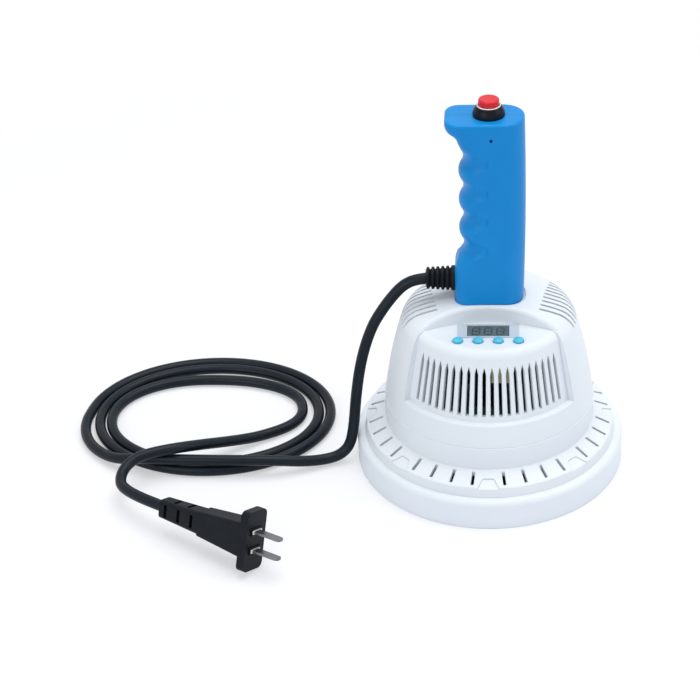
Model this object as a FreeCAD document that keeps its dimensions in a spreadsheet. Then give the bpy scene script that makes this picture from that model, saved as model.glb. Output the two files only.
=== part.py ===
import FreeCAD, Part
import math
import os
import Sketcher
from FreeCAD import Placement, Rotation, Vector

doc = FreeCAD.newDocument("induction_sealer")
sheet = doc.addObject("Spreadsheet::Sheet", "dims")
nodes = []


# A size is a number with the sheet expression that gives it.
class Size:
    def __init__(self, value, text):
        self.value = value
        self.text = text

    def __add__(self, other):
        other = as_size(other)
        return Size(self.value + other.value, f"({self.text} + {other.text})")

    def __sub__(self, other):
        other = as_size(other)
        return Size(self.value - other.value, f"({self.text} - {other.text})")

    def __mul__(self, other):
        other = as_size(other)
        return Size(self.value * other.value, f"({self.text} * {other.text})")

    def __truediv__(self, other):
        other = as_size(other)
        return Size(self.value / other.value, f"({self.text} / {other.text})")

    def __radd__(self, other):
        return as_size(other) + self

    def __rsub__(self, other):
        return as_size(other) - self

    def __rmul__(self, other):
        return as_size(other) * self

    def __neg__(self):
        return Size(-self.value, f"(-1 * {self.text})")


def as_size(number):
    if isinstance(number, Size):
        return number
    return Size(float(number), f"({float(number)})")


def size(alias, value):
    size.row += 1
    sheet.set(f"A{size.row}", alias)
    sheet.set(f"B{size.row}", str(value))
    sheet.setAlias(f"B{size.row}", alias)
    return Size(float(value), f"dims.{alias}")


size.row = 0

# Base ring: flange, stepped rim, vented platform and collar
flange_r = size("flange_r", 90)
flange_h = size("flange_h", 16.5)
wall = size("wall", 2.5)
rim_ledge = size("rim_ledge", 5.6)
rim_round = size("rim_round", 4.2)
step_h = size("step_h", 6)
step_draft = size("step_draft", 0.9)
step_round = size("step_round", 1.2)
platform_rise = size("platform_rise", 5.2)
collar_r = size("collar_r", 70.2)
collar_h = size("collar_h", 15.9)
vent_w = size("vent_w", 2)
vent_margin = size("vent_margin", 2)
vent_first = size("vent_first", 7.5)
vent_pitch = size("vent_pitch", 10)
notch_in_half = size("notch_in_half", 4.6)
notch_out_half = size("notch_out_half", 8.4)
notch_corner = size("notch_corner", 2.2)
notch_depth = size("notch_depth", 0.9)
notch_reach = size("notch_reach", 6)
boss_ring_r = size("boss_ring_r", 78.5)
boss_r = size("boss_r", 3.4)

# Head: sealing face, coil and ferrites
face_t = size("face_t", 3.2)
face_gap = size("face_gap", 0.3)
former_r = size("former_r", 70)
former_h = size("former_h", 6)
coil_in_r = size("coil_in_r", 18)
coil_out_r = size("coil_out_r", 54)
coil_t = size("coil_t", 2.8)
ferrite_w = size("ferrite_w", 10)
ferrite_h = size("ferrite_h", 6)
fit_gap = size("fit_gap", 0.25)
run_gap = size("run_gap", 0.06)
hole_gap = size("hole_gap", 0.3)

# Dome housing
dome_gap = size("dome_gap", 0.5)
dome_wall = size("dome_wall", 2.4)
wall_rise = size("wall_rise", 56)
wall_draw = size("wall_draw", 11.7)
wall_bow = size("wall_bow", 1.3)
shoulder_rise = size("shoulder_rise", 12.1)
shoulder_draw = size("shoulder_draw", 10.8)
shoulder_bow = size("shoulder_bow", 1.78)
crown_rise = size("crown_rise", 9.2)
lip_h = size("lip_h", 6)
lip_t = size("lip_t", 2)
recess_half = size("recess_half", 55)
ledge_rise = size("ledge_rise", 16.2)
ledge_w = size("ledge_w", 3.7)
grille_draw = size("grille_draw", 0.1957)
panel_rise = size("panel_rise", 63.6)
brow_round = size("brow_round", 6)
ledge_round = size("ledge_round", 1.2)
crown_round = size("crown_round", 3)
panel_back = size("panel_back", 17.5)
panel_sweep = size("panel_sweep", 25.2)
panel_reach = size("panel_reach", 60)
slot_w = size("slot_w", 2.3)
slot_rise = size("slot_rise", 3.6)
slot_len = size("slot_len", 28.6)
slot_taper = size("slot_taper", 5)
slot_count = 20
slot_pitch = size("slot_pitch", 5)
louvre_w = size("louvre_w", 1.8)
louvre_pitch = size("louvre_pitch", 5)
louvre_first = size("louvre_first", 15)
louvre_in = size("louvre_in", 33)
louvre_lean = size("louvre_lean", 0.9)
louvre_drop = size("louvre_drop", 20)
louvre_count = 9

# Handle
seat_depth = size("seat_depth", 3.1)
seat_floor = size("seat_floor", 5)
grip_h = size("grip_h", 128.8)
grip_half = size("grip_half", 16)
grip_wall = size("grip_wall", 2.8)
palm_x = size("palm_x", 23.9)
palm_taper = size("palm_taper", 1)
palm_round = size("palm_round", 14)
foot_x = size("foot_x", 21.4)
foot_h = size("foot_h", 22)
foot_slope = size("foot_slope", 14)
ridge_x = size("ridge_x", 18.4)
valley_x = size("valley_x", 15.4)
finger_round = size("finger_round", 9)
beak_x = size("beak_x", 26.6)
beak_h = size("beak_h", 14.4)
beak_lip = size("beak_lip", 2.4)
groove_first = size("groove_first", 40.6)
groove_count = 4
edge_round = size("edge_round", 1.8)
cavity_round = size("cavity_round", 12.4)
grip_boss_r = size("grip_boss_r", 3.4)
screw_sink = size("screw_sink", 2)
boss_bite = size("boss_bite", 0.6)
pin_x = size("pin_x", 2.2)
pin_drop = size("pin_drop", 10.4)
pin_r = size("pin_r", 1)

# Push button
button_x = size("button_x", 0.8)
bezel_r = size("bezel_r", 10)
bezel_top_r = size("bezel_top_r", 8.2)
bezel_h = size("bezel_h", 6.6)
bezel_lip = size("bezel_lip", 0.7)
ring_sink = size("ring_sink", 1.4)
ring_h = size("ring_h", 0.9)
cap_r = size("cap_r", 6.5)
cap_top = size("cap_top", 11)
cap_gap = size("cap_gap", 0.35)
cap_travel = size("cap_travel", 3)
plunger_r = size("plunger_r", 3)
barrel_r = size("barrel_r", 7.3)
barrel_h = size("barrel_h", 30)

# Control panel
key_pitch = size("key_pitch", 12.9)
key_y = size("key_y", 40.4)
key_r = size("key_r", 3.2)
key_h = size("key_h", 2.5)
key_dome = size("key_dome", 1.1)
key_gap = size("key_gap", 0.3)
key_flange = size("key_flange", 0.8)
key_drop = size("key_drop", 0.7)
key_travel = size("key_travel", 1)
display_w = size("display_w", 38.4)
display_d = size("display_d", 15.4)
display_back = size("display_back", 20.8)
glass_w = size("glass_w", 27)
frame_over = size("frame_over", 0.4)
frame_t = size("frame_t", 0.4)
glass_d = size("glass_d", 13)
board_t = size("board_t", 1.6)
control_drop = size("control_drop", 11.8)
control_half = size("control_half", 28)
control_front = size("control_front", 44)
control_back = size("control_back", 15)
panel_post_r = size("panel_post_r", 2.2)
panel_post_x = size("panel_post_x", 26)
panel_post_front = size("panel_post_front", 36.5)
panel_post_back = size("panel_post_back", 25)
switch_side = size("switch_side", 6)
switch_h = size("switch_h", 2)
stem_r = size("stem_r", 1.5)
stem_gap = size("stem_gap", 0.2)
relay_w = size("relay_w", 13)
relay_d = size("relay_d", 10)
relay_h = size("relay_h", 17)
relay_x = size("relay_x", 8.5)
relay_y = size("relay_y", 37)

# Lead, boot and plug
cord_r = size("cord_r", 3.75)
boot_rise = size("boot_rise", 12.6)
boot_len = size("boot_len", 19.2)
boot_r = size("boot_r", 8.3)
boot_tip_r = size("boot_tip_r", 7.1)
boot_neck_r = size("boot_neck_r", 5)
boot_bore_r = size("boot_bore_r", 2.6)
mouth_gap = size("mouth_gap", 0.9)
mouth_depth = size("mouth_depth", 3)
rib_depth = size("rib_depth", 1.5)
rib_count = 6
coil_long = size("coil_long", 89.5)
coil_short = size("coil_short", 72.1)
turn_pitch = size("turn_pitch", 8.4)
turn_slack = size("turn_slack", 7)
plug_stub = size("plug_stub", 33)
plug_stub_w = size("plug_stub_w", 12.6)
plug_stub_d = size("plug_stub_d", 12)
plug_neck_w = size("plug_neck_w", 15.6)
plug_neck_d = size("plug_neck_d", 14.2)
plug_body_len = size("plug_body_len", 35.6)
plug_flange_t = size("plug_flange_t", 5.8)
plug_flange_w = size("plug_flange_w", 40)
plug_flange_d = size("plug_flange_d", 19.6)
plug_step = size("plug_step", 8.2)
stub_cut = size("stub_cut", 1.9)
blade_len = size("blade_len", 20)
blade_w = size("blade_w", 6.3)
blade_round = size("blade_round", 2.4)
blade_t = size("blade_t", 1.5)
blade_span = size("blade_span", 12.7)

# Electronics
post_r = size("post_r", 3)
post_h = size("post_h", 31)
board_margin = size("board_margin", 4.7)
can_inset = size("can_inset", 18)
can_r = size("can_r", 9)
can_h = size("can_h", 30)
can_gap = size("can_gap", 4)
choke_r = size("choke_r", 10)
choke_wire_r = size("choke_wire_r", 5)
sink_w = size("sink_w", 40)
sink_d = size("sink_d", 36)
sink_h = size("sink_h", 26)
sink_base = size("sink_base", 5)
fin_t = size("fin_t", 2)
fin_count = 7
chip_t = size("chip_t", 5)
chip_w = size("chip_w", 16)
chip_h = size("chip_h", 20)
fan_side = size("fan_side", 60)
fan_t = size("fan_t", 20)
fan_bolt = size("fan_bolt", 25)
fan_bore_r = size("fan_bore_r", 28.2)
fan_hub_r = size("fan_hub_r", 12.5)
fan_gap = size("fan_gap", 1.2)
fan_rise = size("fan_rise", 31)
fan_round = size("fan_round", 4)
fan_post_r = size("fan_post_r", 2.6)
strut_w = size("strut_w", 4)
strut_h = size("strut_h", 3)
vane_chord = size("vane_chord", 6)
vane_t = size("vane_t", 1.4)
vane_count = 7
shaft_r = size("shaft_r", 1.5)
screw_r = size("screw_r", 1.3)
head_r = size("head_r", 2.6)
head_h = size("head_h", 1.8)

# Heights that several pieces share
ledge_z = flange_h + rim_round
step_top_z = ledge_z + step_h
platform_z = step_top_z + step_round + platform_rise
collar_z = platform_z + collar_h
dome_r = collar_r - dome_gap
wall_top_z = collar_z + wall_rise
wall_top_r = dome_r - wall_draw
shoulder_z = wall_top_z + shoulder_rise
shoulder_r = wall_top_r - shoulder_draw
crown_z = shoulder_z + crown_rise
recess_z = collar_z + ledge_rise
grille_r = dome_r - ledge_w - 2.6
panel_z = collar_z + panel_rise
seat_z = crown_z - seat_depth
grip_top_z = seat_z + grip_h
cavity_x = valley_x - grip_wall
bump_z = grip_top_z - beak_lip - beak_h
groove_pitch = (bump_z - seat_z - groove_first) / (groove_count - 0.5)
former_z = face_t + former_h
board_z = former_z + post_h
board_top_z = board_z + board_t
power_board_r = collar_r - wall - board_margin
post_ring_r = power_board_r - post_r
control_z = panel_z - dome_wall - control_drop
control_top_z = control_z + board_t

doc.recompute()


def bind(thing, prop, amount):
    thing.setExpression(prop, as_size(amount).text)


def place(thing, x=0, y=0, z=0, turn=None):
    if turn is not None:
        thing.Placement = Placement(Vector(), turn)
    for axis, amount in zip("xyz", (x, y, z)):
        bind(thing, f"Placement.Base.{axis}", amount)
    return thing


def node(thing, label):
    thing.Label = label
    nodes.append(thing)
    return thing


def new_body(name):
    return doc.addObject("PartDesign::Body", name)


def origin(body, role):
    return [part for part in body.Origin.OriginFeatures if part.Role == role][0]


def lock(sketch, index, point, x, y):
    for kind, amount in (("DistanceX", as_size(x)), ("DistanceY", as_size(y))):
        rule = sketch.addConstraint(Sketcher.Constraint(kind, index, point, amount.value))
        sketch.setExpression(f"Constraints[{rule}]", amount.text)


def flat(x, y):
    return Vector(as_size(x).value, as_size(y).value, 0)


# A closed outline. A point is (x, y), and an arc to a point is (mid x, mid y, x, y).
def add_outline(sketch, path):
    starts = [step[-2:] for step in path]
    for i, step in enumerate(path[1:] + path[:1]):
        begin = flat(*starts[i])
        end = flat(*step[-2:])
        if len(step) == 2:
            edge = sketch.addGeometry(Part.LineSegment(begin, end), False)
            lock(sketch, edge, 1, *starts[i])
            lock(sketch, edge, 2, *step)
            continue
        middle = flat(*step[:2])
        clockwise = (middle - begin).cross(end - begin).z < 0
        ends = (end, begin) if clockwise else (begin, end)
        edge = sketch.addGeometry(Part.Arc(ends[0], middle, ends[1]), False)
        lock(sketch, edge, 2 if clockwise else 1, *starts[i])
        lock(sketch, edge, 1 if clockwise else 2, *step[-2:])
        through = sketch.addGeometry(Part.Point(middle), True)
        lock(sketch, through, 1, *step[:2])
        sketch.addConstraint(Sketcher.Constraint("PointOnObject", through, 1, edge))


def add_circle(sketch, x, y, radius):
    radius = as_size(radius)
    ring = sketch.addGeometry(Part.Circle(flat(x, y), Vector(0, 0, 1), radius.value), False)
    lock(sketch, ring, 3, x, y)
    rule = sketch.addConstraint(Sketcher.Constraint("Radius", ring, radius.value))
    sketch.setExpression(f"Constraints[{rule}]", radius.text)


def draw(body, role, paths=(), circles=(), lift=0, turn=None):
    sketch = body.newObject("Sketcher::SketchObject", "outline")
    sketch.AttachmentSupport = (origin(body, role), "")
    sketch.MapMode = "FlatFace"
    if turn is not None:
        sketch.AttachmentOffset = Placement(Vector(), turn)
    bind(sketch, "AttachmentOffset.Base.z", lift)
    for path in paths:
        add_outline(sketch, path)
    for circle in circles:
        add_circle(sketch, *circle)
    return sketch


def extrude(body, kind, sketch, length, back=False):
    feature = body.newObject(f"PartDesign::{kind}", kind.lower())
    feature.Profile = sketch
    bind(feature, "Length", length)
    feature.Reversed = back
    doc.recompute()
    return feature


def pad(body, sketch, length, back=False):
    return extrude(body, "Pad", sketch, length, back)


# A pocket runs against the sketch's normal, or along it when back is set.
def pocket(body, sketch, length, back=False):
    before = body.Shape.Volume
    feature = extrude(body, "Pocket", sketch, length, back)
    if not body.Shape.Volume < before - 1e-6:
        raise RuntimeError(f"a pocket in {body.Name} cuts nothing")
    return feature


def turn_about(body, kind, sketch, role="Z_Axis", angle=360):
    before = body.Shape.Volume if kind == "Groove" else None
    feature = body.newObject(f"PartDesign::{kind}", kind.lower())
    feature.Profile = sketch
    feature.ReferenceAxis = (origin(body, role), [""])
    bind(feature, "Angle", angle)
    feature.Midplane = as_size(angle).value < 360
    doc.recompute()
    if before is not None and not body.Shape.Volume < before - 1e-6:
        raise RuntimeError(f"a groove in {body.Name} cuts nothing")
    return feature


def polar(body, feature, count, angle=360, role="Z_Axis"):
    pattern = body.newObject("PartDesign::PolarPattern", "ring_of")
    pattern.Originals = [feature]
    pattern.Axis = (origin(body, role), [""])
    bind(pattern, "Angle", angle)
    pattern.Occurrences = count
    body.Tip = pattern
    doc.recompute()
    return pattern


def linear(body, feature, count, length, role):
    pattern = body.newObject("PartDesign::LinearPattern", "row_of")
    pattern.Originals = [feature]
    pattern.Direction = (origin(body, role), [""])
    bind(pattern, "Length", length)
    pattern.Occurrences = count
    body.Tip = pattern
    doc.recompute()
    return pattern


def round_edges(body, radius, wanted):
    base = body.Tip
    names = [f"Edge{i}" for i, edge in enumerate(base.Shape.Edges, 1) if wanted(edge)]
    if not names:
        raise RuntimeError(f"no edge to round in {body.Name}")
    feature = body.newObject("PartDesign::Fillet", "rounding")
    feature.Base = (base, names)
    bind(feature, "Radius", radius)
    doc.recompute()
    return feature


def rectangle(x0, y0, x1, y1):
    return [(x0, y0), (x1, y0), (x1, y1), (x0, y1)]


# Where the middle of an arc lies, as shares of how far it leaves its first tangent and runs along it
def arc_middle(across, along):
    sweep = 2 * math.atan2(abs(across.value), abs(along.value))
    part = (1 - math.cos(sweep / 2)) / (1 - math.cos(sweep))
    rise = math.sin(sweep / 2) / math.sin(sweep)
    return part, rise


# A round cap on the axis, from its rim to its top
def cap_arc(radius, height, top):
    part, rise = arc_middle(height, radius)
    return radius * rise, top - height * part, 0, top


# A rounded rectangle with its own corner radius at the low and the high x end
def pill(x0, x1, half, low, high):
    slack = 1 - math.sqrt(0.5)
    return [
        (x0, low - half),
        (x0 + low * slack, low * slack - half, x0 + low, -half),
        (x1 - high, -half),
        (x1 - high * slack, high * slack - half, x1, high - half),
        (x1, half - high),
        (x1 - high * slack, half - high * slack, x1 - high, half),
        (x0 + low, half),
        (x0 + low * slack, half - low * slack, x0, half - low),
    ]


def loft(body, sections):
    feature = body.newObject("PartDesign::AdditiveLoft", "loft")
    feature.Profile = sections[0]
    feature.Sections = sections[1:]
    doc.recompute()
    return feature


def block(name, length, width, height, x, y, z):
    box = doc.addObject("Part::Box", name)
    for prop, amount in (("Length", length), ("Width", width), ("Height", height)):
        bind(box, prop, amount)
    return place(box, x - as_size(length) / 2, y - as_size(width) / 2, z)


def rod(name, radius, height, x, y, z, turn=None):
    cylinder = doc.addObject("Part::Cylinder", name)
    bind(cylinder, "Radius", radius)
    bind(cylinder, "Height", height)
    return place(cylinder, x, y, z, turn)


# A hollow post that takes a screw
def spacer(radius, height, x, y, z):
    post = rod("post", radius, height, x, y, z)
    bore = rod("bore", screw_r + run_gap, height, x, y, z)
    return cut("spacer", post, bore)


def cut(name, base, tool):
    result = doc.addObject("Part::Cut", name)
    result.Base = base
    result.Tool = tool
    return result


def fuse(name, *shapes):
    result = doc.addObject("Part::MultiFuse", name)
    result.Shapes = list(shapes)
    return result


def group(label, items):
    bundle = doc.addObject("Part::Compound", label)
    bundle.Links = items
    return node(bundle, label)


def around(radius, degrees):
    angle = math.radians(degrees)
    return radius * math.cos(angle), radius * math.sin(angle)


# A pan-head screw whose head's underside is at the given point and whose shank runs up, or along turn
def screw(length, x, y, z, turn=None):
    shank = rod("shank", screw_r, length, 0, 0, 0)
    head = rod("head", head_r, head_h, 0, 0, -head_h)
    return place(fuse("screw", shank, head), x, y, z, turn)


# Base ring
def make_base_ring():
    body = new_body("base_ring")
    inside = flange_r - wall
    rim_in = flange_r - rim_ledge
    step_in = rim_in - step_draft
    under = platform_z - wall - 0.2
    path = [
        (inside, 0), (flange_r, 0), (flange_r, flange_h),
        (flange_r - rim_round * 0.293, flange_h + rim_round * 0.707, flange_r - rim_round, ledge_z),
        (rim_in, ledge_z), (step_in, step_top_z),
        (step_in - step_round * 0.293, step_top_z + step_round * 0.707,
         step_in - step_round, step_top_z + step_round),
        (collar_r, platform_z), (collar_r, collar_z), (collar_r - wall, collar_z),
        (collar_r - wall, under), (step_in - wall, step_top_z - wall * 0.7),
        (rim_in - wall, flange_h + 1.4), (inside, flange_h),
    ]
    turn_about(body, "Revolution", draw(body, "XZ_Plane", [path]))
    round_edges(body, 0.5, lambda e: is_ring(e, collar_r.value, collar_z.value))

    # screw bosses under the notches
    boss = draw(body, "XY_Plane", circles=[(0, -boss_ring_r, boss_r)], lift=face_t)
    polar(body, pad(body, boss, step_top_z + step_round / 2 - face_t), 8)
    pilot = draw(body, "XY_Plane", circles=[(0, -boss_ring_r, screw_r + run_gap)], lift=face_t)
    polar(body, pocket(body, pilot, 8, back=True), 8)

    # flared notches sunk along the slope of the platform, one over each boss
    slope = platform_rise / (step_in - step_round - collar_r)
    tilt = math.atan(slope.value)
    inner = (step_in - step_round - notch_reach) / math.cos(tilt)
    outer = (step_in + 2) / math.cos(tilt)
    slack = notch_corner * (1 - math.sqrt(0.5))
    path = [
        (notch_in_half - notch_corner, -inner),
        (notch_in_half - slack, -inner - slack, notch_in_half, -inner - notch_corner),
        (notch_out_half, -outer), (-notch_out_half, -outer), (-notch_in_half, -inner - notch_corner),
        (slack - notch_in_half, -inner - slack, notch_corner - notch_in_half, -inner),
    ]
    lean = Rotation(Vector(1, 0, 0), math.degrees(tilt))
    floor = draw(body, "XY_Plane", [path], lift=platform_z + collar_r * slope - notch_depth, turn=lean)
    polar(body, pocket(body, floor, notch_depth + 4, back=True), 8)

    # radial vents, four to each eighth
    low = collar_r + vent_margin
    high = step_in - step_round - 1
    slots = []
    for i in range(4):
        angle = math.radians(vent_first.value + i * vent_pitch.value)
        across, along = math.cos(angle), math.sin(angle)
        corners = ((low, -0.5), (high, -0.5), (high, 0.5), (low, 0.5))
        slots.append([
            (r * across - vent_w * (s * along), r * along + vent_w * (s * across)) for r, s in corners])
    vents = draw(body, "XY_Plane", slots, lift=platform_z + 2)
    polar(body, pocket(body, vents, platform_rise + step_round + wall + 6), 8)
    return node(body, "base_ring")


def on_plane(edge, axis, level):
    box = edge.BoundBox
    low, high = getattr(box, f"{axis}Min"), getattr(box, f"{axis}Max")
    return abs(low - level) < 1e-3 and abs(high - level) < 1e-3


def is_ring(edge, radius, z):
    if not isinstance(edge.Curve, Part.Circle):
        return False
    return abs(edge.Curve.Radius - radius) < 1e-3 and abs(edge.Curve.Center.z - z) < 1e-3


# Sealing face, coil former, induction coil and ferrites
def make_head():
    body = new_body("sealing_face")
    turn_about(body, "Revolution", draw(body, "XZ_Plane", [[
        (0, 0), (flange_r - wall - face_gap, 0), (flange_r - wall - face_gap, face_t), (0, face_t)]]))
    hole = draw(body, "XY_Plane", circles=[(0, -boss_ring_r, screw_r + hole_gap)])
    polar(body, pocket(body, hole, face_t, back=True), 8)
    sink = draw(body, "XY_Plane", circles=[(0, -boss_ring_r, head_r + hole_gap)])
    polar(body, pocket(body, sink, head_h + 0.2, back=True), 8)
    node(body, "sealing_face")
    screws = []
    for i in range(8):
        x, y = around(boss_ring_r, 45 * i)
        screws.append(screw(face_t + 4 - head_h, x, y, head_h + 0.2))
    group("base_screws", screws)

    former = new_body("coil_former")
    groove_z = former_z - coil_t
    turn_about(former, "Revolution", draw(former, "XZ_Plane", [[
        (coil_in_r - 8, face_t), (former_r, face_t), (former_r, former_z),
        (coil_out_r + fit_gap, former_z), (coil_out_r + fit_gap, groove_z),
        (coil_in_r - fit_gap, groove_z), (coil_in_r - fit_gap, former_z), (coil_in_r - 8, former_z)]]))
    node(former, "coil_former")

    coil = new_body("induction_coil")
    winding = rectangle(coil_in_r, groove_z, coil_out_r, former_z)
    turn_about(coil, "Revolution", draw(coil, "XZ_Plane", [winding]))
    node(coil, "induction_coil")

    bars = []
    for i in range(8):
        length = coil_out_r - coil_in_r
        bar = doc.addObject("Part::Box", "ferrite")
        for prop, amount in (("Length", length), ("Width", ferrite_w), ("Height", ferrite_h)):
            bind(bar, prop, amount)
        angle = math.radians(45 * i + 22.5)
        place(bar, coil_in_r * math.cos(angle) + ferrite_w * math.sin(angle) / 2,
              coil_in_r * math.sin(angle) - ferrite_w * math.cos(angle) / 2, former_z,
              Rotation(Vector(0, 0, 1), 45 * i + 22.5))
        bars.append(bar)
    group("ferrite_bars", bars)


# Dome housing: the outer form and the hollow are the same form, the hollow set in by the wall
def dome_form(name, inset):
    body = new_body(name)
    low_r = dome_r - inset
    lean = math.atan2(wall_draw.value, wall_rise.value)
    bow_r = (low_r + wall_top_r - inset) / 2 + wall_bow * math.cos(lean)
    bow_z = collar_z + wall_rise / 2 + wall_bow * math.sin(lean)
    tip_r = shoulder_r - inset * 0.4
    tip_z = shoulder_z - inset * 0.9
    top_r = wall_top_r - inset * 0.95
    top_z = wall_top_z - inset * 0.3
    slant = math.atan2(shoulder_draw.value, shoulder_rise.value)
    path = [
        (0, collar_z), (low_r, collar_z), (bow_r, bow_z, top_r, top_z),
        ((top_r + tip_r) / 2 + shoulder_bow * math.cos(slant),
         (top_z + tip_z) / 2 + shoulder_bow * math.sin(slant), tip_r, tip_z),
        cap_arc(tip_r, crown_z - inset - tip_z, crown_z - inset),
    ]
    turn_about(body, "Revolution", draw(body, "XZ_Plane", [path]))

    # front recess with its ledge, its sloping grille and the rounded brow above it
    far = dome_r + 12
    over = crown_z + 4
    grille_base = grille_r - inset
    shelf = recess_z - inset
    top = panel_z - inset
    edge_r = grille_base - grille_draw * (top - shelf)
    reach = brow_round * 0.824
    path = [
        (-grille_base, shelf), (-far, shelf), (-far, over), (reach - edge_r, over), (reach - edge_r, top),
        (brow_round * 0.187 - edge_r, top - brow_round * 0.228,
         -edge_r - grille_draw * reach * 0.981, top - reach * 0.981),
    ]
    turn_about(body, "Groove", draw(body, "YZ_Plane", [path]), angle=recess_half * 2 + inset * 2.2)

    # almond control panel
    path = [
        (-panel_reach, -panel_back - panel_sweep + inset),
        (0, inset - panel_back, panel_reach, -panel_back - panel_sweep + inset),
        (panel_reach, -far), (-panel_reach, -far),
    ]
    pocket(body, draw(body, "XY_Plane", [path], lift=top), over - top, back=True)
    if inset.value == 0:
        round_edges(body, crown_round, is_crown_edge)
        round_edges(body, ledge_round, is_ledge_edge)
    return body


# The edge where the crown breaks off to the control panel
def is_crown_edge(edge):
    box = edge.BoundBox
    spans = box.XMin < -panel_back.value and box.XMax > panel_back.value
    return spans and box.ZMax - box.ZMin > 1 and abs(box.YMax + panel_back.value) < 1


# The outer edge of the ledge under the grille
def is_ledge_edge(edge):
    return on_plane(edge, "Z", recess_z.value) and edge.BoundBox.YMin < -grille_r.value - ledge_w.value / 2


def make_dome():
    body = dome_form("dome_housing", as_size(0))
    hollow = dome_form("dome_hollow", dome_wall)
    inside = pill(-(foot_x + 4), palm_x + 4, grip_half + 3, as_size(6), as_size(6))
    seat = draw(hollow, "XY_Plane", [inside], lift=seat_z - seat_floor)
    pocket(hollow, seat, seat_depth + seat_floor, back=True)
    boolean = body.newObject("PartDesign::Boolean", "hollowed")
    boolean.Type = "Cut"
    boolean.setObjects([hollow])
    body.Tip = boolean
    doc.recompute()

    # spigot that drops into the collar
    spigot = collar_r - wall - fit_gap
    lip = draw(body, "XY_Plane", circles=[(0, 0, spigot), (0, 0, spigot - lip_t)], lift=collar_z - lip_h)
    pad(body, lip, lip_h + 3)

    # seat of the handle, its wire hole and screw holes
    rounds = finger_round + fit_gap, palm_round + fit_gap
    seat = pill(-foot_x - fit_gap, palm_x + fit_gap, grip_half + fit_gap, *rounds)
    pocket(body, draw(body, "XY_Plane", [seat], lift=seat_z), seat_depth + 2, back=True)
    holes = [(0, 0, 6)] + [(x, y, screw_r + hole_gap) for x, y in foot_screw_places()]
    pocket(body, draw(body, "XY_Plane", circles=holes, lift=seat_z + 1), seat_floor + 4)

    # openings of the keys and of the display
    holes = [(x, -key_y, key_r + key_gap) for x in key_places()]
    half = display_w / 2 + fit_gap
    window = rectangle(-half, -display_back - display_d - fit_gap, half, fit_gap - display_back)
    pocket(body, draw(body, "XY_Plane", [window], holes, lift=panel_z + 1), dome_wall + 3)

    # grille slots
    half = slot_w / 2
    low = recess_z + slot_rise
    high = low + slot_len
    path = [(-half, low), (half, low), (half, high), (0, high + slot_taper), (-half, high)]
    start = Rotation(Vector(0, 1, 0), -slot_pitch.value * (slot_count - 1) / 2)
    slot = pocket(body, draw(body, "XZ_Plane", [path], turn=start), dome_r + 5, back=True)
    polar(body, slot, slot_count, slot_pitch * (slot_count - 1))

    # louvres over both shoulders, each a little shorter than the one before it
    half = louvre_w / 2
    sides = []
    for i in range(louvre_count):
        y = louvre_pitch * i - louvre_first
        x = louvre_in + louvre_lean * i
        sides.append(rectangle(x, y - half, dome_r, y + half))
        sides.append(rectangle(-dome_r, y - half, -x, y + half))
    pocket(body, draw(body, "XY_Plane", sides, lift=crown_z), louvre_drop)
    return node(body, "dome_housing")


def key_places():
    return [key_pitch * (i - 1.5) for i in range(4)]


def foot_screw_places():
    return [(x, y) for x in (-11, 13) for y in (-8.5, 8.5)]


# Control panel pieces
def make_panel():
    bezel = new_body("display_bezel")
    bottom = panel_z - dome_wall
    y0 = -display_back - display_d
    plate = rectangle(-display_w / 2, y0, display_w / 2, -display_back)
    pad(bezel, draw(bezel, "XY_Plane", [plate], lift=bottom), dome_wall)
    half = display_w / 2 + frame_over
    lip = rectangle(-half, y0 - frame_over, half, frame_over - display_back)
    pad(bezel, draw(bezel, "XY_Plane", [lip], lift=panel_z), frame_t)
    gap_d = (display_d - glass_d) / 2
    window = rectangle(-glass_w / 2, y0 + gap_d, glass_w / 2, -display_back - gap_d)
    pocket(bezel, draw(bezel, "XY_Plane", [window], lift=bottom), dome_wall + 2, back=True)
    node(bezel, "display_bezel")
    y = -display_back - display_d / 2
    glass = block("display_glass", glass_w - 0.3, glass_d - 0.3, dome_wall, 0, y, bottom)
    node(glass, "display_glass")
    module = block("display_module", display_w - 4, display_d - 1, control_drop - board_t, 0, y, control_top_z)
    node(module, "display_module")

    spots = [(x, -y) for x in (-panel_post_x, panel_post_x) for y in (panel_post_front, panel_post_back)]
    board = new_body("control_board")
    holes = [(x, y, screw_r + hole_gap) for x, y in spots]
    plate = rectangle(-control_half, -control_front, control_half, -control_back)
    pad(board, draw(board, "XY_Plane", [plate], holes, lift=control_z), board_t)
    node(board, "control_board")
    post_rise = control_drop - board_t
    group("panel_posts", [spacer(panel_post_r, post_rise, x, y, control_top_z) for x, y in spots])
    group("panel_screws", [screw(board_t + 5, x, y, control_z) for x, y in spots])
    side = switch_side
    group("key_switches", [block("switch", side, side, switch_h, x, -key_y, control_top_z) for x in key_places()])
    node(block("relay", relay_w, relay_d, relay_h, relay_x, -relay_y, control_z - relay_h), "relay")

    names = ("key_set", "key_down", "key_up", "key_start")
    flange_top = panel_z - dome_wall - key_drop
    flange_low = flange_top - key_flange
    stem_z = control_top_z + switch_h + key_travel + stem_gap
    for name, x in zip(names, key_places()):
        key = new_body(name)
        top = panel_z + key_h
        profile = [
            (0, stem_z), (stem_r, stem_z), (stem_r, flange_low),
            (key_r + key_flange, flange_low), (key_r + key_flange, flange_top),
            (key_r, flange_top), (key_r, top - key_dome), cap_arc(key_r, key_dome, top),
        ]
        turn_about(key, "Revolution", draw(key, "XZ_Plane", [profile]))
        place(key, x, -key_y, 0)
        node(key, name)


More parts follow.
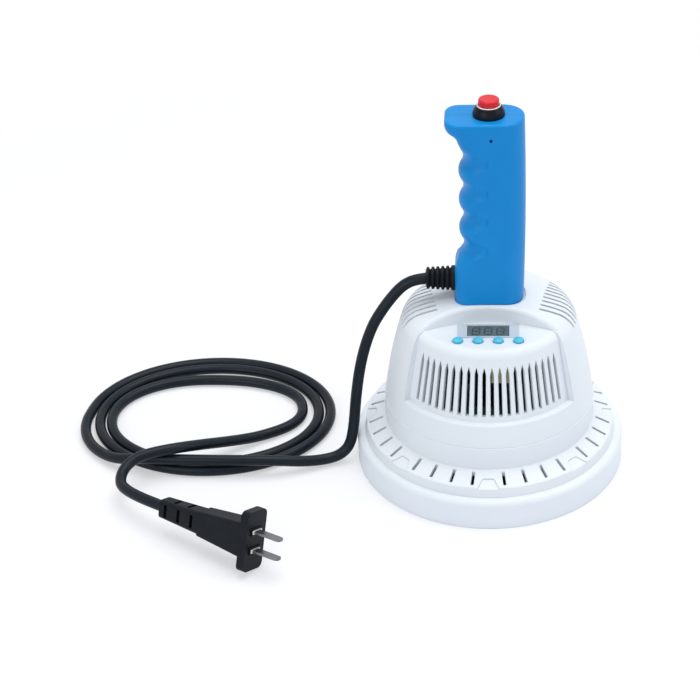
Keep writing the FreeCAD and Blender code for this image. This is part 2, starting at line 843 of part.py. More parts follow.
# Handle shells: the side view drawn out to both sides, with the finger grooves turned round its front
def grip_outline():
    return [
        (-foot_x, seat_z), (palm_x - palm_taper, seat_z),
        (palm_x, seat_z + grip_h / 2, palm_x - palm_taper, grip_top_z),
        (-beak_x, grip_top_z),
        *ease(-beak_x, grip_top_z - beak_lip, -ridge_x, bump_z),
        *ease(-ridge_x, seat_z + foot_h + foot_slope, -foot_x, seat_z + foot_h),
    ]


# Two arcs that leave one upright line and run into another
def ease(x0, z0, x1, z1):
    wide, tall = (x1 - x0) / 2, (z1 - z0) / 2
    part, rise = arc_middle(wide, tall)
    middle = (x0 + wide * part, z0 + tall * rise, x0 + wide, z0 + tall)
    end = (x1 - wide * part, z1 - tall * rise, x1, z1)
    return [(x0, z0), middle, end]


# The fingers' wave: half a pitch of groove and half a pitch of ridge by turns. Its lower end runs on
# down the slope of the foot, and its upper end meets the beak upright.
def finger_wave():
    half = groove_pitch / 2
    swing = (ridge_x - valley_x) / 2
    middle = valley_x + swing
    low = seat_z + groove_first - half / 2
    drop = foot_slope / 2
    slope = math.tan(2 * math.atan2(2 * swing.value, half.value))
    far = grip_half * 4
    path = [(-far, low - drop), (-middle - drop * slope, low - drop), (-middle, low)]
    for i in range(groove_count):
        z = low + groove_pitch * i
        path.append((-valley_x, z + half / 2, -middle, z + half))
        if i < groove_count - 1:
            path.append((-ridge_x, z + half * 1.5, -middle, z + half * 2))
    part, rise = arc_middle(swing, half / 2)
    path.append((swing * part - ridge_x, bump_z - half * rise / 2, -ridge_x, bump_z))
    return path + [(-far, bump_z + (far - ridge_x) * slope)]


def make_handle_half(label, side):
    body = new_body(label)
    pad(body, draw(body, "XZ_Plane", [grip_outline()]), grip_half, back=side > 0)
    outer = side * grip_half.value
    round_edges(body, finger_round, lambda e: on_plane(e, "Y", outer) and e.BoundBox.XMax < -valley_x.value)
    round_edges(body, palm_round, lambda e: on_plane(e, "Y", outer) and e.BoundBox.XMin > valley_x.value)
    turn_about(body, "Groove", draw(body, "XZ_Plane", [finger_wave()]), angle=180)
    round_edges(body, edge_round, lambda e: on_plane(e, "Z", grip_top_z.value) and not on_plane(e, "Y", 0))
    back_x = palm_x - palm_taper - grip_wall
    inside = pill(-cavity_x, back_x, grip_half - grip_wall, cavity_round, palm_round - grip_wall)
    floor = seat_z + grip_wall
    pocket(body, draw(body, "XY_Plane", [inside], lift=floor), grip_h - grip_wall * 2 - 0.4, back=True)

    # bosses: three between the shells and two at the foot
    bosses = draw(body, "XZ_Plane", circles=[(x, z, grip_boss_r) for x, z in grip_boss_places()])
    pad(body, bosses, grip_half - grip_wall + boss_bite, back=side > 0)
    ease = hole_gap if side > 0 else run_gap
    pilots = draw(body, "XZ_Plane", circles=[(x, z, screw_r + ease) for x, z in grip_boss_places()])
    pocket(body, pilots, grip_half - (0 if side > 0 else grip_wall), back=side < 0)
    if side > 0:
        sinks = [(x, z, head_r + hole_gap) for x, z in grip_boss_places()]
        sinks = draw(body, "XZ_Plane", circles=sinks, lift=head_h + screw_sink - grip_half)
        pocket(body, sinks, head_h + 4)
    places = [(x, y) for x, y in foot_screw_places() if y * side > 0]
    feet = draw(body, "XY_Plane", circles=[(x, y, grip_boss_r) for x, y in places], lift=floor - 1)
    pad(body, feet, 9)
    pilots = draw(body, "XY_Plane", circles=[(x, y, screw_r + run_gap) for x, y in places], lift=seat_z)
    pocket(body, pilots, 10, back=True)
    wires = draw(body, "XY_Plane", circles=[(0, 0, 6)], lift=seat_z)
    pocket(body, wires, grip_wall, back=True)

    # openings for the push button, the boot and the pin hole at the front
    hole = draw(body, "XY_Plane", circles=[(button_x, 0, barrel_r + fit_gap)], lift=grip_top_z + 2)
    pocket(body, hole, grip_wall + 6)
    neck = draw(body, "YZ_Plane", circles=[(0, seat_z + boot_rise, boot_neck_r + fit_gap)])
    pocket(body, neck, foot_x + 6)
    if side < 0:
        pin = draw(body, "XZ_Plane", circles=[(pin_x, grip_top_z - pin_drop, pin_r)])
        pocket(body, pin, grip_half + 2, back=True)
    return node(body, label)


def grip_boss_places():
    return [(12, seat_z + 24), (12, seat_z + 82), (-7.5, seat_z + 52)]


def make_handle():
    make_handle_half("handle_front_shell", -1)
    make_handle_half("handle_rear_shell", 1)
    into_front = Rotation(Vector(1, 0, 0), 90)
    head_y = grip_half - head_h - screw_sink
    group("handle_screws", [screw(head_y + 8, x, head_y, z, into_front) for x, z in grip_boss_places()])
    foot_z = seat_z - seat_floor
    group("handle_foot_screws", [screw(seat_floor + 8, x, y, foot_z) for x, y in foot_screw_places()])


# Push button on top of the handle
def make_button():
    bezel = new_body("switch_bezel")
    bore = cap_r + cap_gap
    top = grip_top_z + bezel_h
    lip_r = bezel_top_r - bezel_lip
    ring_z = top - ring_sink
    slack = bezel_lip * (1 - math.sqrt(0.5))
    turn_about(bezel, "Revolution", draw(bezel, "XZ_Plane", [[
        (bore, grip_top_z), (bezel_r, grip_top_z), (bezel_r, grip_top_z + 1.6), (bezel_top_r, top - bezel_lip),
        (bezel_top_r - slack, top - slack, lip_r, top), (lip_r, ring_z), (bore, ring_z)]]))
    node(place(bezel, button_x), "switch_bezel")
    collar = new_body("switch_collar")
    ring = rectangle(bore, ring_z, lip_r - run_gap, ring_z + ring_h)
    turn_about(collar, "Revolution", draw(collar, "XZ_Plane", [ring]))
    node(place(collar, button_x), "switch_collar")

    cap = new_body("trigger_cap")
    high = grip_top_z + cap_top
    skirt = grip_top_z + cap_travel + 0.4
    foot = grip_top_z - 14
    turn_about(cap, "Revolution", draw(cap, "XZ_Plane", [[
        (0, foot), (plunger_r, foot), (plunger_r, skirt), (cap_r, skirt), (cap_r, high - 1.2),
        (cap_r - 0.35, high - 0.35, cap_r - 1.2, high), (0, high)]]))
    node(place(cap, button_x), "trigger_cap")

    switch = new_body("switch_body")
    turn_about(switch, "Revolution", draw(switch, "XZ_Plane", [[
        (0, grip_top_z - barrel_h), (barrel_r, grip_top_z - barrel_h), (barrel_r, grip_top_z),
        (plunger_r + run_gap, grip_top_z), (plunger_r + run_gap, foot - cap_travel - 1),
        (0, foot - cap_travel - 1)]]))
    node(place(switch, button_x), "switch_body")
    nut = new_body("switch_nut")
    across = barrel_r + 3.2
    corners = [around(across, 60 * i) for i in range(6)]
    under = grip_top_z - grip_wall - 0.4
    hexagon = draw(nut, "XY_Plane", [corners], [(0, 0, barrel_r + run_gap)], lift=under - 2.6)
    pad(nut, hexagon, 2.6)
    node(place(nut, button_x), "switch_nut")


# Lead: straight runs joined by arcs as large as the runs allow
def rounded_wire(points, label):
    edges = []
    here = points[0]
    radii = []
    for before, corner, after in zip(points, points[1:], points[2:]):
        come = (corner - before).normalize()
        go = (after - corner).normalize()
        turn = come.getAngle(go)
        reach = 0.45 * min((corner - before).Length, (after - corner).Length)
        radii.append(reach / math.tan(turn / 2))
        start = corner - come * reach
        end = corner + go * reach
        bulge = (go - come).normalize() * (radii[-1] / math.cos(turn / 2) - radii[-1])
        edges.append(Part.LineSegment(here, start).toShape())
        edges.append(Part.Arc(start, corner + bulge, end).toShape())
        here = end
    edges.append(Part.LineSegment(here, points[-1]).toShape())
    print(label, "radii", [round(radius, 1) for radius in radii])
    return Part.Wire(edges)


# Two arcs that leave one point and reach the next along given directions
def two_arcs(a, a_way, b, b_way):
    span = b - a
    both = a_way + b_way
    spread = 2 * (1 - a_way.dot(b_way))
    along = span.dot(both)
    reach = (math.sqrt(along * along + spread * span.dot(span)) - along) / spread
    joint = (a + b + (a_way - b_way) * reach) / 2
    arcs = []
    for start, way, end in ((a, a_way, joint), (b, -b_way, joint)):
        chord = end - start
        side = chord - way * chord.dot(way)
        radius = chord.dot(chord) / (2 * side.Length)
        centre = start + side.normalize() * radius
        middle = (start + end) / 2 - centre
        arcs.append((start, centre + middle.normalize() * radius, end))
    first = Part.Arc(*arcs[0]).toShape()
    second = Part.Arc(arcs[1][2], arcs[1][1], arcs[1][0]).toShape()
    return [first, second]


def tube(label, wire, way):
    ring = Part.Circle(wire.OrderedVertexes[0].Point, way, cord_r.value).toShape()
    shape = wire.makePipeShell([Part.Wire(ring)], True, False)
    expected = math.pi * cord_r.value ** 2 * wire.Length
    print(label, "length", round(wire.Length, 1), "volume share", round(shape.Volume / expected, 4))
    feature = doc.addObject("Part::Feature", label)
    feature.Shape = shape
    return node(feature, label)


def least_gap(wire):
    points = wire.discretize(Distance=2)
    apart = int(20 * cord_r.value / 2)
    gaps = []
    for i, a in enumerate(points):
        gaps.extend((a - b).Length for b in points[i + apart:])
    return min(gaps) - 2 * cord_r.value


# Points near an end that both wires share are left out
def gap_between(wire, other):
    shared = 12 * cord_r.value
    ends = [vertex.Point for vertex in (other.OrderedVertexes[0], other.OrderedVertexes[-1])]
    points = [p for p in wire.discretize(Distance=2) if min((p - end).Length for end in ends) > shared]
    others = other.discretize(Distance=2)
    return min((p - q).Length for p in points for q in others) - 2 * cord_r.value


def make_lead():
    floor = cord_r.value
    exit_x = (mouth_depth - mouth_gap - foot_x - boot_len).value
    exit_z = (seat_z + boot_rise).value
    middle = Vector(-196.5, 31.3, floor)

    # coil: left, back, right, front and round again, drawn in by a quarter of the pitch each quarter turn
    ways = (Vector(-1, 0, 0), Vector(0, 1, 0), Vector(1, 0, 0), Vector(0, -1, 0))
    stops = []
    for i in range(10):
        half = (coil_long if i % 2 == 0 else coil_short).value - turn_pitch.value * i / 4
        stops.append((middle + ways[i % 4] * half, ways[(i + 1) % 4]))
    stops[-1][0].y -= turn_slack.value
    stops.append((Vector(-132.5, 41.5, floor), ways[3]))
    edges = []
    for (a, a_way), (b, b_way) in zip(stops, stops[1:]):
        edges.extend(two_arcs(a, a_way, b, b_way))
    coil = Part.Wire(edges)
    print("cord_coil least gap", round(least_gap(coil), 2))

    # the free end falls to the floor and lies on the front of the coil, then outside it
    first = stops[0][0]
    free = [
        Vector(exit_x, 0, exit_z), Vector(exit_x - 8.4, 0, exit_z - 1), Vector(-54.6, -0.2, 131.2),
        Vector(-61.1, -0.8, 124.6), Vector(-68.9, -2, 114.2), Vector(-77.4, -4.4, 100.4), Vector(-84.6, -7, 78),
        Vector(-89, -9.4, 52), Vector(-91.4, -12.4, 27), Vector(-94.4, -15, 12.6), Vector(-101, -17.6, 6),
        Vector(-111, -20.8, 4.3), Vector(-126, -27.2, 7), Vector(-143.8, -32, 11.4), Vector(-163, -33, 12.2),
        Vector(-188, -33, 12.2), Vector(-213, -32.4, 12.2), Vector(-229, -31.4, 12.2),
        Vector(-241, -29.6, 10.9), Vector(-253, -25.8, 7.7), Vector(-264.5, -18, 4.8),
        Vector(-275.5, -7, floor), Vector(-283, 6, floor), Vector(first.x, 19, floor), first,
    ]

    # the tail curls inside the coil, crosses over its front and bridges to the plug
    last = stops[-1][0]
    tail = [
        last, last - Vector(0, 8.5, 0), Vector(-135.6, 24.8, floor), Vector(-142, 17.6, floor),
        Vector(-152, 10.6, 4), Vector(-164, 3, 5.2), Vector(-179, -6.4, 8.9), Vector(-195.5, -17.6, 14.4),
        Vector(-213.5, -31.2, 20.8), Vector(-230.8, -37.6, 20.8), Vector(-240, -42.8, 19.2),
        Vector(-245, -50.3, 17), Vector(-246, -59.3, 15.2), Vector(-242.8, -67.8, 14.8),
        plug_start() - plug_way() * 20, plug_start(),
    ]
    free = rounded_wire(free, "cord_free")
    tail = rounded_wire(tail, "cord_tail")
    pairs = (("free and coil", free, coil), ("tail and coil", tail, coil), ("tail and free", tail, free))
    for name, one, other in pairs:
        print(name, "least gap", round(gap_between(one, other), 2))
    tube("cord_free", free, Vector(-8.4, 0, -1))
    tube("cord_coil", coil, stops[0][1])
    tube("cord_tail", tail, stops[-1][1])


def make_boot():
    boot = new_body("cord_boot")
    step = boot_len / rib_count
    tip_x = -foot_x - boot_len
    mouth_r = cord_r + mouth_gap
    profile = [(-cavity_x, boot_bore_r), (-cavity_x, boot_neck_r), (-foot_x, boot_neck_r), (-foot_x, boot_r)]
    for i in range(rib_count):
        start = -foot_x - step * i
        rib = boot_r - (boot_r - boot_tip_r) * ((i + 0.5) / rib_count)
        root = rib - rib_depth
        if i > 0:
            profile += [(start - step * 0.1, root), (start - step * 0.3, rib)]
        profile += [(start - step * 0.75, rib), (start - step * 0.9, root)]
    profile += [(tip_x, boot_tip_r - rib_depth - 0.4), (tip_x, mouth_r)]
    profile += [(tip_x + mouth_depth, mouth_r), (tip_x + mouth_depth, boot_bore_r)]
    turn_about(boot, "Revolution", draw(boot, "XZ_Plane", [profile]), role="X_Axis")
    node(place(boot, 0, 0, seat_z + boot_rise), "cord_boot")


# Plug: it lies on the floor on a corner of its flange, blades away from the lead
def plug_turn():
    yaw = Rotation(Vector(0, 0, 1), -30.8)
    pitch = Rotation(Vector(0, 1, 0), 87.3)
    roll = Rotation(Vector(0, 0, 1), -20)
    return yaw * pitch * roll


def plug_way():
    return plug_turn().multVec(Vector(0, 0, 1))


def plug_start():
    return Vector(-210.2, -92.4, 18)


def make_plug():
    body = new_body("plug_body")
    wide, deep = plug_flange_w - plug_step * 2, plug_flange_d - plug_step * 0.4

    def section(width, depth, corner, z):
        corner = as_size(corner)
        return draw(body, "XY_Plane", [pill(-width / 2, width / 2, depth / 2, corner, corner)], lift=z)

    loft(body, [
        section(plug_stub_w, plug_stub_d, 3, as_size(0)), section(plug_neck_w, plug_neck_d, 3, plug_stub)])
    loft(body, [
        section(plug_neck_w + 1.4, plug_neck_d + 0.6, 2, plug_stub),
        section(wide, deep, 2, plug_stub + plug_body_len)])
    pad(body, section(plug_flange_w, plug_flange_d, 4, plug_stub + plug_body_len), plug_flange_t)

    # cuts that let the strain relief bend, by turns on the wide and the narrow sides
    for i in range(1, 6):
        middle = plug_stub * i / 6
        on_side = i % 2 == 0
        half = (plug_stub_d if on_side else plug_stub_w) / 2 - stub_cut
        deep_in = (plug_stub_w if on_side else plug_stub_d) / 2 - stub_cut
        across = rectangle(-half, middle - 1.3, half, middle + 1.3)
        for lift, back in ((deep_in, True), (-deep_in, False)):
            relief = draw(body, "YZ_Plane" if on_side else "XZ_Plane", [across], lift=lift)
            pocket(body, relief, plug_neck_w / 2, back=back)
    place(body, *plug_start(), plug_turn())
    node(body, "plug_body")

    face = plug_stub + plug_body_len + plug_flange_t
    blades = []
    for sign in (-1, 1):
        blade = new_body("blade")
        half = blade_w / 2
        slack = blade_round * (1 - math.sqrt(0.5))
        outline = [
            (-half, 0), (half, 0), (half, blade_len - blade_round),
            (half - slack, blade_len - slack, half - blade_round, blade_len), (blade_round - half, blade_len),
            (slack - half, blade_len - slack, -half, blade_len - blade_round),
        ]
        side = sign * blade_span / 2 - blade_t / 2
        pad(blade, draw(blade, "YZ_Plane", [outline], lift=side), blade_t)
        blade.Placement = Placement(plug_start() + plug_way() * face.value, plug_turn())
        blades.append(blade)
    group("plug_blades", blades)


# Electronics in the dome
def make_electronics():
    spots = [around(post_ring_r, 90 * i + 45) for i in range(4)]
    group("board_posts", [spacer(post_r, post_h, x, y, former_z) for x, y in spots])
    board = new_body("power_board")
    rings = [(0, 0, power_board_r)] + [(x, y, screw_r + hole_gap) for x, y in spots]
    pad(board, draw(board, "XY_Plane", circles=rings, lift=board_z), board_t)
    node(board, "power_board")
    down = Rotation(Vector(1, 0, 0), 180)
    group("board_screws", [screw(board_t + 6, x, y, board_top_z, down) for x, y in spots])

    sink = new_body("heatsink")
    half_w, half_d = sink_w / 2, sink_d / 2
    base = rectangle(-half_w, -half_d, half_w, half_d)
    pad(sink, draw(sink, "XY_Plane", [base], lift=board_top_z), sink_base)
    fin = rectangle(-half_w, -half_d, fin_t - half_w, half_d)
    fin = pad(sink, draw(sink, "XY_Plane", [fin], lift=board_top_z), sink_h)
    linear(sink, fin, fin_count, sink_w - fin_t, "X_Axis")
    node(sink, "heatsink")
    chip_x = half_w + chip_t / 2
    chips = [block("chip", chip_t, chip_w, chip_h, x, 0, board_top_z) for x in (-chip_x, chip_x)]
    group("power_transistors", chips)
    edge_x = power_board_r - can_inset
    can_y = can_r + can_gap / 2
    cans = [rod("can", can_r, can_h, -edge_x, y, board_top_z) for y in (-can_y, can_y)]
    group("bulk_capacitors", cans)
    choke = doc.addObject("Part::Torus", "choke")
    bind(choke, "Radius1", choke_r)
    bind(choke, "Radius2", choke_wire_r)
    node(place(choke, edge_x, 0, board_top_z + choke_wire_r), "filter_choke")

    frame = new_body("fan_frame")
    low = board_top_z + fan_rise
    half = fan_side / 2
    square = pill(-half, half, half, fan_round, fan_round)
    pad(frame, draw(frame, "XY_Plane", [square], [(0, 0, fan_bore_r)], lift=low), fan_t)
    corners = [(fan_bolt * i, fan_bolt * j) for i in (-1, 1) for j in (-1, 1)]
    holes = draw(frame, "XY_Plane", circles=[(x, y, screw_r + hole_gap) for x, y in corners], lift=low)
    pocket(frame, holes, fan_t, back=True)
    reach = fan_bore_r + 0.5
    side = strut_w / 2
    for strut in (rectangle(-reach, -side, reach, side), rectangle(-side, -reach, side, reach)):
        pad(frame, draw(frame, "XY_Plane", [strut], lift=low), strut_h)
    pad(frame, draw(frame, "XY_Plane", circles=[(0, 0, fan_hub_r - 1)], lift=low), strut_h)
    bearing = draw(frame, "XY_Plane", circles=[(0, 0, shaft_r + run_gap)], lift=low)
    pocket(frame, bearing, strut_h, back=True)
    node(frame, "fan_frame")
    group("fan_posts", [spacer(fan_post_r, fan_rise, x, y, board_top_z) for x, y in corners])
    group("fan_screws", [screw(fan_t + 6, x, y, low + fan_t, down) for x, y in corners])

    rotor = new_body("fan_rotor")
    shaft_z = low + 0.2
    hub_low = low + strut_h + 0.5
    hub_top = low + fan_t - 1
    turn_about(rotor, "Revolution", draw(rotor, "XZ_Plane", [[
        (0, shaft_z), (shaft_r, shaft_z), (shaft_r, hub_low), (fan_hub_r, hub_low),
        (fan_hub_r, hub_top), (0, hub_top)]]))
    vane_low, vane_top = hub_low + 1, hub_top - 1
    vane = [
        (-vane_chord, vane_low), (vane_t - vane_chord, vane_low),
        (vane_chord + vane_t, vane_top), (vane_chord, vane_top),
    ]
    vane = draw(rotor, "YZ_Plane", [vane], lift=fan_hub_r - 2)
    polar(rotor, pad(rotor, vane, fan_bore_r - fan_gap - fan_hub_r + 1), vane_count)
    node(rotor, "fan_rotor")


make_base_ring()
make_head()
make_dome()
make_panel()
make_handle()
make_button()
make_boot()
make_lead()
make_plug()
make_electronics()
doc.recompute()

for thing in doc.Objects:
    if "Invalid" in thing.State or "Error" in thing.State:
        raise RuntimeError(f"{thing.Name} failed: {thing.State}")
for thing in nodes:
    if thing.Shape.isNull() or not thing.Shape.isValid():
        raise RuntimeError(f"{thing.Label} has no valid shape")

os.makedirs("parts", exist_ok=True)
for thing in nodes:
    thing.Shape.exportStep(f"parts/{thing.Label}.step")
print(len(nodes), "nodes")
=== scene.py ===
import math

import bmesh
import bpy
from mathutils import Matrix, Vector


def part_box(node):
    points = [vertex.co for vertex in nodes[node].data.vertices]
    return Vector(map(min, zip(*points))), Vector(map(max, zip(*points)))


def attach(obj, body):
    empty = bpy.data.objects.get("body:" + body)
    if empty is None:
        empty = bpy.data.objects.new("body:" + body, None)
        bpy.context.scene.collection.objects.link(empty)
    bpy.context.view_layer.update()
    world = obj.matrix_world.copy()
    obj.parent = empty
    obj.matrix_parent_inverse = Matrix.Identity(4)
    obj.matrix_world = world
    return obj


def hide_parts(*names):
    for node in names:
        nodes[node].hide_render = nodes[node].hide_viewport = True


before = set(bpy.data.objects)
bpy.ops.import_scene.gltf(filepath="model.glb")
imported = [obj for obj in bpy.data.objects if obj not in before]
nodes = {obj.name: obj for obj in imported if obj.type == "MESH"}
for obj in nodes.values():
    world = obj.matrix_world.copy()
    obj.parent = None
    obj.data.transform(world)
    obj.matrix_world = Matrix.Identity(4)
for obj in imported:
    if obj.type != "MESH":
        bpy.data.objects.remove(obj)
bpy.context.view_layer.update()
scene = bpy.context.scene
print("frame loaded:", len(nodes), "nodes")

# camera, fitted to the flange, the handle and the floor line of the photograph
viewFit = {
    "place": (0.0062, -1.0111, 0.7349),
    "right": (0.9966, 0.0678, -0.0457),
    "up": (0.0015, 0.5438, 0.8392),
    "lens": 92.73,
    "sensor": 36,
}


def setCamera():
    right = Vector(viewFit["right"]).normalized()
    back = right.cross(Vector(viewFit["up"])).normalized()
    up = back.cross(right)
    turn = Matrix((right, up, back)).transposed().to_4x4()
    data = bpy.data.cameras.new("photoCamera")
    data.sensor_width = viewFit["sensor"]
    data.lens = viewFit["lens"]
    camera = bpy.data.objects.new("photoCamera", data)
    camera.matrix_world = Matrix.Translation(viewFit["place"]) @ turn
    scene.collection.objects.link(camera)
    scene.camera = camera


setCamera()
print("camera set")

# mains lead: out of the boot, down the dome, over the front of the loose coil, round it and on to the plug
lead = {
    "radius": 0.00375,
    "length": 1.68,
    "drop": [
        (-0.0385, 0, 0.1358), (-0.0469, 0, 0.1348), (-0.0546, -0.0002, 0.1312),
        (-0.0611, -0.0008, 0.1246), (-0.0689, -0.002, 0.1142), (-0.0774, -0.0044, 0.1004),
        (-0.0846, -0.007, 0.078), (-0.089, -0.0094, 0.052), (-0.0914, -0.0124, 0.027),
        (-0.0944, -0.015, 0.0126), (-0.101, -0.0176, 0.006), (-0.111, -0.0208, 0.0043),
        (-0.126, -0.0272, 0.007), (-0.1438, -0.032, 0.0114), (-0.163, -0.033, 0.0122),
        (-0.188, -0.033, 0.0122), (-0.213, -0.0324, 0.0122), (-0.229, -0.0314, 0.0122),
        (-0.241, -0.0296, 0.0109), (-0.253, -0.0258, 0.0077), (-0.2645, -0.018, 0.0048),
        (-0.2755, -0.007, 0.00375), (-0.283, 0.006, 0.00375), (-0.286, 0.019, 0.00375),
    ],
    "coilAt": (-0.1965, 0.0313, 0.00375),
    "coilHalf": (0.0895, 0.0721),  # half width and half depth of the outer turn
    "turnPitch": 0.0084,
    "turns": 2.25,
    "stepsPerTurn": 20,
    "slack": 0.007,  # how far the coil's end is drawn in, from the turn named next
    "slackFrom": 2,
    "curlHalf": (0.064, 0.036),  # of the quarter turn that ends at the tail
    "order": 3,
    "stepsAlong": 6,
    "stepsRound": 6,
    "tail": [
        (-0.1325, 0.033, 0.00375), (-0.1356, 0.0248, 0.00375), (-0.142, 0.0176, 0.00375),
        (-0.152, 0.0106, 0.004), (-0.164, 0.003, 0.0052), (-0.179, -0.0064, 0.0089),
        (-0.1955, -0.0176, 0.0144), (-0.2135, -0.0312, 0.0208), (-0.2308, -0.0376, 0.0208),
        (-0.24, -0.0428, 0.0192), (-0.245, -0.0503, 0.017), (-0.246, -0.0593, 0.0152),
        (-0.2428, -0.0678, 0.0148), (-0.22736, -0.08217, 0.01706), (-0.2102, -0.0924, 0.018),
    ],
}


def leadPoints():
    points = list(lead["drop"])
    cx, cy, cz = lead["coilAt"]
    perTurn = lead["stepsPerTurn"]
    for i in range(int(lead["turns"] * perTurn) + 1):
        turn = i / perTurn
        angle = turn * 2 * math.pi
        across = lead["coilHalf"][0] - lead["turnPitch"] * turn
        deep = lead["coilHalf"][1] - lead["turnPitch"] * turn
        drawn = lead["slack"] * max(0, turn - lead["slackFrom"]) / (lead["turns"] - lead["slackFrom"])
        points.append((cx - across * math.cos(angle), cy + (deep - drawn) * math.sin(angle), cz))
    wide, deep = lead["curlHalf"]
    low = points[-1][1] - deep
    quarter = perTurn // 4
    for i in range(1, quarter + 1):
        angle = i / perTurn * 2 * math.pi
        points.append((cx + wide * math.sin(angle), low + deep * math.cos(angle), cz))
    return points + lead["tail"]


def layLead():
    points = leadPoints()
    curve = bpy.data.curves.new("mainsLead", "CURVE")
    curve.dimensions = "3D"
    spline = curve.splines.new("NURBS")
    spline.points.add(len(points) - 1)
    for knot, point in zip(spline.points, points):
        knot.co = (*point, 1)
        knot.radius = lead["radius"]
    spline.order_u = lead["order"]
    spline.use_endpoint_u = True
    spline.resolution_u = lead["stepsAlong"]
    curve.bevel_depth = 1  # times the radius at each point
    curve.bevel_resolution = lead["stepsRound"]
    curve.use_fill_caps = True
    cord = bpy.data.objects.new("mainsLead", curve)
    scene.collection.objects.link(cord)
    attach(cord, "sealer")
    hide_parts("cord_free", "cord_coil", "cord_tail")
    return cord


# finishes: two close tones and the scale of their mottle, roughness, the scale and strength of the moulded or
# brushed grain, and the radius that softens a moulded edge
finishLook = {
    "whitePlastic": {"tone": (0.715, 0.765, 0.815), "tint": (0.695, 0.748, 0.80), "mottle": 24, "rough": 0.42,
                     "grain": 1700, "lift": 0.10, "edge": 0.0009, "specular": 0.3},
    "bluePlastic": {"tone": (0.003, 0.226, 0.59), "tint": (0.002, 0.21, 0.56), "mottle": 38, "rough": 0.36,
                    "grain": 1500, "lift": 0.16, "edge": 0.0014, "specular": 0.16},
    "redPlastic": {"tone": (0.60, 0.013, 0.028), "tint": (0.55, 0.010, 0.023), "mottle": 120, "rough": 0.34,
                   "grain": 1500, "lift": 0.12, "edge": 0.0004, "specular": 0.25},
    "cyanRubber": {"tone": (0.075, 0.50, 0.69), "tint": (0.065, 0.46, 0.65), "mottle": 150, "rough": 0.42,
                   "grain": 2200, "lift": 0.14, "specular": 0.3},
    "blackPlastic": {"tone": (0.004, 0.007, 0.011), "tint": (0.007, 0.010, 0.015), "mottle": 120,
                     "rough": 0.3, "grain": 1600, "lift": 0.18, "edge": 0.0003, "specular": 0.1},
    "blackRubber": {"tone": (0.004, 0.007, 0.010), "tint": (0.007, 0.010, 0.014), "mottle": 90, "rough": 0.42,
                    "grain": 1300, "lift": 0.3, "edge": 0.0005, "specular": 0.12},
    "leadSkin": {"tone": (0.004, 0.009, 0.015), "tint": (0.007, 0.012, 0.019), "mottle": 70, "rough": 0.32,
                 "grain": 1100, "lift": 0.16, "specular": 0.17},
    # pale ring tone, also worn by the blade shoulders as a painted glint along each blade root
    "paleRingAndGlint": {"tone": (0.72, 0.71, 0.69), "tint": (0.66, 0.65, 0.63), "mottle": 150, "rough": 0.4,
                 "grain": 1500, "lift": 0.14, "specular": 0.4},
    "palePlate": {"tone": (0.50, 0.565, 0.65), "tint": (0.47, 0.535, 0.62), "mottle": 60, "rough": 0.3,
                  "grain": 1200, "lift": 0.08, "edge": 0.0003, "specular": 0.4},
    "darkGlass": {"tone": (0.066, 0.113, 0.132), "tint": (0.053, 0.091, 0.108), "mottle": 90, "rough": 0.14,
                  "grain": 900, "lift": 0.02, "specular": 0.5, "coat": 0.4},
    "steel": {"tone": (0.30, 0.305, 0.31), "tint": (0.25, 0.255, 0.26), "mottle": 200, "rough": 0.34,
              "roughSpread": 0.1, "grain": 900, "lift": 0.22, "metal": 1.0, "stretch": (1, 1, 0.15)},
    "bladeSteel": {"tone": (0.215, 0.22, 0.23), "tint": (0.18, 0.185, 0.195), "mottle": 200, "rough": 0.36,
                   "roughSpread": 0.1, "grain": 900, "lift": 0.22, "metal": 1.0, "stretch": (1, 1, 0.15)},
    "aluminium": {"tone": (0.72, 0.73, 0.74), "tint": (0.66, 0.67, 0.68), "mottle": 120, "rough": 0.36,
                  "roughSpread": 0.1, "grain": 900, "lift": 0.25, "metal": 1.0, "stretch": (0.1, 1, 1)},
    "copper": {"tone": (0.62, 0.26, 0.10), "tint": (0.52, 0.20, 0.07), "mottle": 200, "rough": 0.3,
               "grain": 1500, "lift": 0.3, "metal": 1.0},
    "ferrite": {"tone": (0.035, 0.034, 0.036), "tint": (0.05, 0.048, 0.05), "mottle": 200, "rough": 0.7,
                "grain": 1400, "lift": 0.4},
    "formerPlastic": {"tone": (0.56, 0.54, 0.47), "tint": (0.50, 0.48, 0.42), "mottle": 60, "rough": 0.5,
                      "grain": 900, "lift": 0.3},
    "chokeCoat": {"tone": (0.32, 0.19, 0.012), "tint": (0.26, 0.15, 0.01), "mottle": 90, "rough": 0.4,
                  "grain": 1100, "lift": 0.25},
    "moduleGrey": {"tone": (0.16, 0.165, 0.17), "tint": (0.13, 0.135, 0.14), "mottle": 90, "rough": 0.45,
                   "grain": 1300, "lift": 0.2},
    "segmentInk": {"tone": (0.030, 0.040, 0.045), "tint": (0.026, 0.035, 0.040), "mottle": 300, "rough": 0.3,
                   "grain": 1500, "lift": 0.05, "specular": 0.3},
    "facePlate": {"tone": (0.62, 0.61, 0.57), "tint": (0.56, 0.55, 0.51), "mottle": 40, "rough": 0.45,
                  "grain": 900, "lift": 0.3},
    "circuitGreen": {"tone": (0.012, 0.14, 0.045), "tint": (0.02, 0.19, 0.06), "mottle": 140, "rough": 0.35,
                     "grain": 900, "lift": 0.2},
    "brass": {"tone": (0.60, 0.42, 0.13), "tint": (0.52, 0.36, 0.10), "mottle": 200, "rough": 0.32,
              "roughSpread": 0.08, "grain": 900, "lift": 0.2, "metal": 1.0, "stretch": (1, 1, 0.15)},
    "relayYellow": {"tone": (0.84, 0.80, 0.56), "tint": (0.78, 0.74, 0.50), "mottle": 90, "rough": 0.4,
                    "grain": 1200, "lift": 0.2},
}

